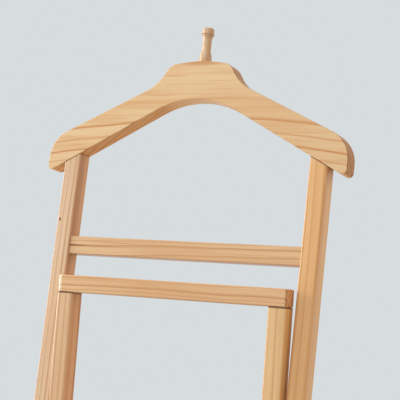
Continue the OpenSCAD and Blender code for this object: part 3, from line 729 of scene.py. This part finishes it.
# Painted highlights: pale marks on the left trouser post's upper left edge and on the rail's left end, where
# the lamp's gleam lies on the rounded edges
painted_highlight_pale = rgb(254, 242, 222)
painted_highlight_edge = (-0.0115, -0.012, 0.160), (0.0024, 0.004, 0.060), 0.6, painted_highlight_pale
painted_highlight_end = (0.0, -0.012, -0.1602), (0.030, 0.006, 0.0050), 0.9, painted_highlight_pale
# Painted shade: dark marks on the rail's lower front edge just above each trouser post, where it meets them
joint_shade_marks = [((0.0114, -0.0105, reach), (0.0013, 0.005, 0.014), 0.8) for reach in (-0.150, 0.150)]
left_trouser_pine = pine(
    "left_trouser_pine", middle("trouser_post_left"), up_trouser, front_of(up_trouser), (44 * mm, 20 * mm),
    6 * mm, pale=rgb(224, 195, 160), dark=rgb(194, 147, 106), shift=0.4, flank_shades=(rgb(255, 234, 212),),
    shaded_seams=(rail_seam,), marks=(painted_highlight_edge,))
right_trouser_pine = pine(
    "right_trouser_pine", middle("trouser_post_right"), up_trouser, front_of(up_trouser),
    (-38 * mm, 26 * mm), 6.2 * mm, pale=rgb(233, 202, 156), dark=rgb(205, 158, 110), shift=2.1,
    flank_shades=(rgb(255, 244, 220),), shaded_seams=(rail_seam,))
# The rail's end-grain tint is lighter and redder partly as painted light, for the light its ends get
rail_pine = pine(
    "rail_pine", middle("trouser_rail"), across, front_of(up_trouser), (-34 * mm, 26 * mm), 5 * mm,
    pale=rgb(228, 195, 154), dark=rgb(190, 132, 86), ends=(1.05, 0.89, 0.80, 1), rim=0.35,
    marks=(painted_highlight_end, *joint_shade_marks))
planed("trouser_post_left", "left_trouser_post", left_trouser_pine, "trouser_frame", 0.6 * mm)
planed("trouser_post_right", "right_trouser_post", right_trouser_pine, "trouser_frame", 0.6 * mm)
planed("trouser_rail", "cap_rail", rail_pine, "trouser_frame", 2.3 * mm)
nodes["rail_dowels"].data.materials[0] = beech("rail_dowels_beech", middle("rail_dowels"), up_trouser)
nodes["pivot_inserts"].data.materials[0] = zinc("insert_zinc", rgb(204, 186, 132))


def hexagon(angle):
    """A hexagon's outline, as a share of its corners' radius."""
    return math.cos(math.pi / 6) / math.cos(angle % (math.pi / 3) - math.pi / 6)


def threads(radius, low, high, pitch):
    """Rows of a thread's crests and roots from one height up to another."""
    count = round((high - low) / pitch)
    root = radius - pitch * 0.54
    return [row for turn in range(count) for row in (
        (root, low + (turn + 0.1) * pitch), (radius, low + (turn + 0.45) * pitch),
        (radius, low + (turn + 0.65) * pitch))]


def button_bolt(name, radius, length, head_r, head_h, pitch, thread_len):
    """A button-head bolt with a hexagon socket, its head's top at the origin and its shank down -Z."""
    flat_r, socket_r = head_r * 0.58, radius * 0.66
    rows = [(0, -length), (radius * 0.8, -length), (radius * 0.9, 0.1 * pitch - length)]
    rows += threads(radius, 0.5 * pitch - length, thread_len - length, pitch)
    rows += [(radius, thread_len - length), (radius, -head_h), (head_r * 0.98, -head_h),
             (head_r, -head_h * 0.93)]
    for step in range(1, 9):
        turn = math.pi / 2 * step / 8
        rows.append((flat_r + (head_r - flat_r) * math.cos(turn), -head_h * 0.93 * (1 - math.sin(turn))))
    rows += [(socket_r * 1.06, 0), (socket_r, -0.15 * mm, hexagon), (socket_r, -head_h * 0.62, hexagon),
             (0, -head_h * 0.75)]
    return turned(name, rows)


def rings(name, node, edge, finish):
    """The tall frame's like washers or spacers: flat rings with their edges broken."""
    places, length, outer, inner = measured(node, outward)
    ring = turned("ring", [
        (inner, edge - length), (inner + edge, -length), (outer - edge, -length), (outer, edge - length),
        (outer, -edge), (outer - edge, 0), (inner + edge, 0), (inner, -edge)])
    set_out(name, ring, places, finish, "tall_frame", node)


bolt_zinc = zinc("bolt_zinc")
white_nylon = moulded("white_nylon", rgb(226, 224, 216), 0.36)
pivot_bolt_r, pivot_head_h = 3 * mm, 3.3 * mm
places, length, head_r, _ = measured("pivot_bolts", outward)
set_out("trouser_bolts", button_bolt("bolt", pivot_bolt_r, length, head_r, pivot_head_h, 1 * mm, 14 * mm),
        places, bolt_zinc, "trouser_frame", "pivot_bolts", seed=4)
rings("trouser_washers", "pivot_washers", 0.2 * mm, bolt_zinc)
rings("trouser_spacers", "pivot_spacers", 0.5 * mm, white_nylon)
places, length, pin_r, _ = measured("stop_pins", outward)
pin_rows = [(0, -length), (pin_r - 0.5 * mm, -length), (pin_r, 0.5 * mm - length),
            (pin_r, -0.4 * mm), (pin_r - 0.4 * mm, 0), (0, 0)]
set_out("steel_stop_pins", turned("pin", pin_rows), places, bolt_zinc, "tall_frame", "stop_pins")


# ---- Rear legs ----
# Two deep pine legs that cross the posts outside them, joined by a round beech bar let into their fronts,
# which carries the seat, and by a board screwed across their backs.
unfolded = math.radians(joints["legs_fold"]["range_deg"][1])
up_legs = Matrix.Rotation(unfolded, 3, "X") @ up_posts
back_of_legs = -front_of(up_legs)
left_leg_pine = pine("left_leg_pine", middle("leg_left"), up_legs, front_of(up_legs),
                     (-46 * mm, 30 * mm), 3.2 * mm, shift=0.9)
right_leg_pine = pine("right_leg_pine", middle("leg_right"), up_legs, front_of(up_legs),
                      (52 * mm, 12 * mm), 2.9 * mm, shift=3.1)
board_pine = pine("rear_board_pine", middle("rear_stretcher"), across, back_of_legs,
                  (20 * mm, 40 * mm), 4.6 * mm, shift=1.7)
planed("leg_left", "left_leg", left_leg_pine, "rear_legs")
planed("leg_right", "right_leg", right_leg_pine, "rear_legs")
planed("rear_stretcher", "rear_board", board_pine, "rear_legs", 0.8 * mm)
planed("support_bar", "support_rod", beech("bar_beech", middle("support_bar"), across), "rear_legs", 0.9 * mm)


def cross(angle):
    """A cross recess's outline, as a share of its arms' reach."""
    off = abs((angle + math.pi / 4) % (math.pi / 2) - math.pi / 4)
    return min(1, 0.17 / max(math.sin(off), 0.1))


screw_zinc = zinc("screw_zinc", rgb(206, 200, 190), 0.3)
screw_r, countersink_h, screw_pitch = 2 * mm, 2.2 * mm, 1.8 * mm


def wood_screws(node, way, body, seed):
    """A body's like screws, countersunk and with cross recesses, whose heads face one way."""
    places, length, head_r, _ = measured(node, lambda centre: way)
    smooth = countersink_h + (length - countersink_h) * 0.35
    rows = [(0, -length), (screw_r * 0.5, 1.2 * screw_r - length)]
    rows += threads(screw_r, 2 * screw_r - length, -smooth, screw_pitch)
    rows += [(screw_r * 0.8, 0.2 * screw_pitch - smooth), (screw_r * 0.8, -countersink_h),
             (head_r * 0.98, -0.25 * mm), (head_r, -0.12 * mm), (head_r * 0.98, 0), (head_r * 0.62, 0),
             (head_r * 0.56, -0.06 * mm, cross), (head_r * 0.42, -countersink_h * 0.5, cross),
             (0, -countersink_h * 0.75)]
    set_out("steel_" + node, turned("screw", rows, 32), places, screw_zinc, body, node, seed=seed)
    return places, head_r


wood_screws("bar_screws", back_of_legs, "rear_legs", 5)
wood_screws("rear_stretcher_screws", back_of_legs, "rear_legs", 6)


# ---- Leg bolts ----
# A bolt each side, 8 mm thick, through leg and post, with a domed head and a washer outside, a nylon
# spacer between leg and post, and a washer and a nut inside.
leg_bolt_r, leg_head_h = 4 * mm, 4 * mm
places, length, head_r, _ = measured("leg_bolts", outward)
set_out("leg_pivot_bolts", button_bolt("bolt", leg_bolt_r, length, head_r, leg_head_h, 1.25 * mm, 22 * mm),
        places, bolt_zinc, "tall_frame", "leg_bolts", seed=2)
rings("outer_leg_washers", "leg_washers", 0.2 * mm, bolt_zinc)
rings("inner_leg_washers", "leg_nut_washers", 0.2 * mm, bolt_zinc)
rings("nylon_leg_spacers", "leg_spacers", 0.4 * mm, white_nylon)


def worn_hexagon(angle):
    """A hexagon whose corners are turned off."""
    return min(hexagon(angle), 0.92)


places, length, outer, inner = measured("leg_nuts", outward)
nut_rows = [(inner + 0.5 * mm, -length), (outer, -length, worn_hexagon), (outer, 0.9 * mm - length, hexagon),
            (outer, -0.9 * mm, hexagon), (outer, 0, worn_hexagon), (inner + 0.5 * mm, 0), (inner, -0.5 * mm),
            (inner, 0.5 * mm - length)]
set_out("hexagon_nuts", turned("nut", nut_rows), places, bolt_zinc, "tall_frame", "leg_nuts", seed=3)


# ---- Seat ----
# Seven pale pine slats with eased edges, each screwed down to two rails. The rails turn on a beech rod
# between the posts, and two beech cleats under them hook over the support bar.
left_rail_pine = pine("left_seat_rail_pine", middle("seat_rail_left"), Vector((0, -1, 0)), across,
                      (36 * mm, 30 * mm), 3.3 * mm, shift=0.2)
right_rail_pine = pine("right_seat_rail_pine", middle("seat_rail_right"), Vector((0, -1, 0)), across,
                       (-30 * mm, 34 * mm), 3.0 * mm, shift=1.1)
planed("seat_rail_left", "left_seat_rail", left_rail_pine, "seat", 0.3 * mm)
planed("seat_rail_right", "right_seat_rail", right_rail_pine, "seat", 0.3 * mm)
for side in ("left", "right"):
    cleat_beech = beech(side + "_cleat_beech", middle("cleat_" + side), across)
    planed("cleat_" + side, side + "_cleat", cleat_beech, "seat", 0.3 * mm)
planed("seat_rod", "seat_turning_rod", beech("rod_beech", middle("seat_rod"), across), "tall_frame", 0.6 * mm)
rings("seat_sleeves", "seat_spacers", 0.6 * mm, white_nylon)
wood_screws("cleat_screws", -upright, "seat", 8)
places, head_r = wood_screws("slat_screws", upright, "seat", 7)
screw_reach = max(place.x for place, way in places)

# One row of slats, bored and countersunk for their screws, every slat from a board of its own
canvas, given = new_tree("slat row", {
    "Count": "Int", "First": "Vector", "Pitch": "Vector", "Length": "Float", "Width": "Float",
    "Thickness": "Float", "Eased edge": "Float", "Screw reach": "Float", "Hole": "Object", "Seed": "Int",
    "Finish": "Material"})


def across_line(half, height):
    """A straight line across, so far to either side and so high."""
    ends = [canvas.make("ShaderNodeCombineXYZ", inputs={"X": sign * half, "Z": height}) for sign in (-1, 1)]
    return canvas.make("GeometryNodeCurvePrimitiveLine", inputs={"Start": ends[0], "End": ends[1]})


section = canvas.make("GeometryNodeCurvePrimitiveQuadrilateral", {"mode": "RECTANGLE"},
                      {"Width": given["Width"], "Height": given["Thickness"]})
section = canvas.make("GeometryNodeFilletCurve", inputs={"Curve": section, "Radius": given["Eased edge"]})
slat = canvas.make("GeometryNodeCurveToMesh", inputs={
    "Curve": across_line(given["Length"] * 0.5, 0.0), "Profile Curve": section, "Fill Caps": True})
hole = canvas.make("GeometryNodeObjectInfo", inputs={"Object": given["Hole"]}, out="Geometry")
holes = canvas.make("GeometryNodeInstanceOnPoints", inputs={
    "Points": across_line(given["Screw reach"], given["Thickness"] * 0.5), "Instance": hole})
slat = canvas.make("GeometryNodeMeshBoolean", {"operation": "DIFFERENCE", "solver": "EXACT"},
                   {"Mesh 1": slat, "Mesh 2": holes})
row = canvas.make("GeometryNodeMeshLine", {"mode": "OFFSET"}, {
    "Count": given["Count"], "Start Location": given["First"], "Offset": given["Pitch"]})
row = canvas.make("GeometryNodeInstanceOnPoints", inputs={"Points": row, "Instance": slat})
cut_from = canvas.make("FunctionNodeRandomValue", {"data_type": "FLOAT_VECTOR"}, {
    0: (-25 * mm, -12 * mm, -2.0), 1: (25 * mm, 12 * mm, 2.0), "Seed": given["Seed"]})
row = canvas.make("GeometryNodeStoreNamedAttribute", {"data_type": "FLOAT_VECTOR", "domain": "INSTANCE"},
                  {"Geometry": row, "Name": "board", "Value": cut_from})
slat_row_tree = end_tree(canvas, row, given["Finish"])

slat_names = sorted(node for node in nodes if node.removeprefix("slat_").isdigit())
first_low, first_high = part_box(slat_names[0])
slat_size = first_high - first_low
slat_pine = pine("slat_pine", middle(slat_names[0]), across, upright, (0, 34 * mm), 4.2 * mm,
                 pale=rgb(228, 196, 152), dark=rgb(202, 148, 100), boards=True)
hole_r, sink_r, beyond = screw_r + 0.1 * mm, head_r + 0.05 * mm, 1 * mm
hole_rows = [(0, -slat_size.z - beyond), (hole_r, -slat_size.z - beyond), (hole_r, -countersink_h),
             (sink_r, 0), (sink_r, beyond), (0, beyond)]
hole_cutter = bpy.data.objects.new("hole_cutter", turned("hole", hole_rows, 32))
slats = grown("seat_slats", bpy.data.meshes.new("slat_seed"), slat_row_tree, {
    "Count": len(slat_names), "First": middle(slat_names[0]),
    "Pitch": middle(slat_names[1]) - middle(slat_names[0]), "Length": slat_size.x, "Width": slat_size.y,
    "Thickness": slat_size.z, "Eased edge": 1.2 * mm, "Screw reach": screw_reach, "Hole": hole_cutter,
    "Seed": 11, "Finish": slat_pine})
bpy.data.objects.remove(hole_cutter)
fitted(eased(slats, 0.35 * mm), "seat", *slat_names)
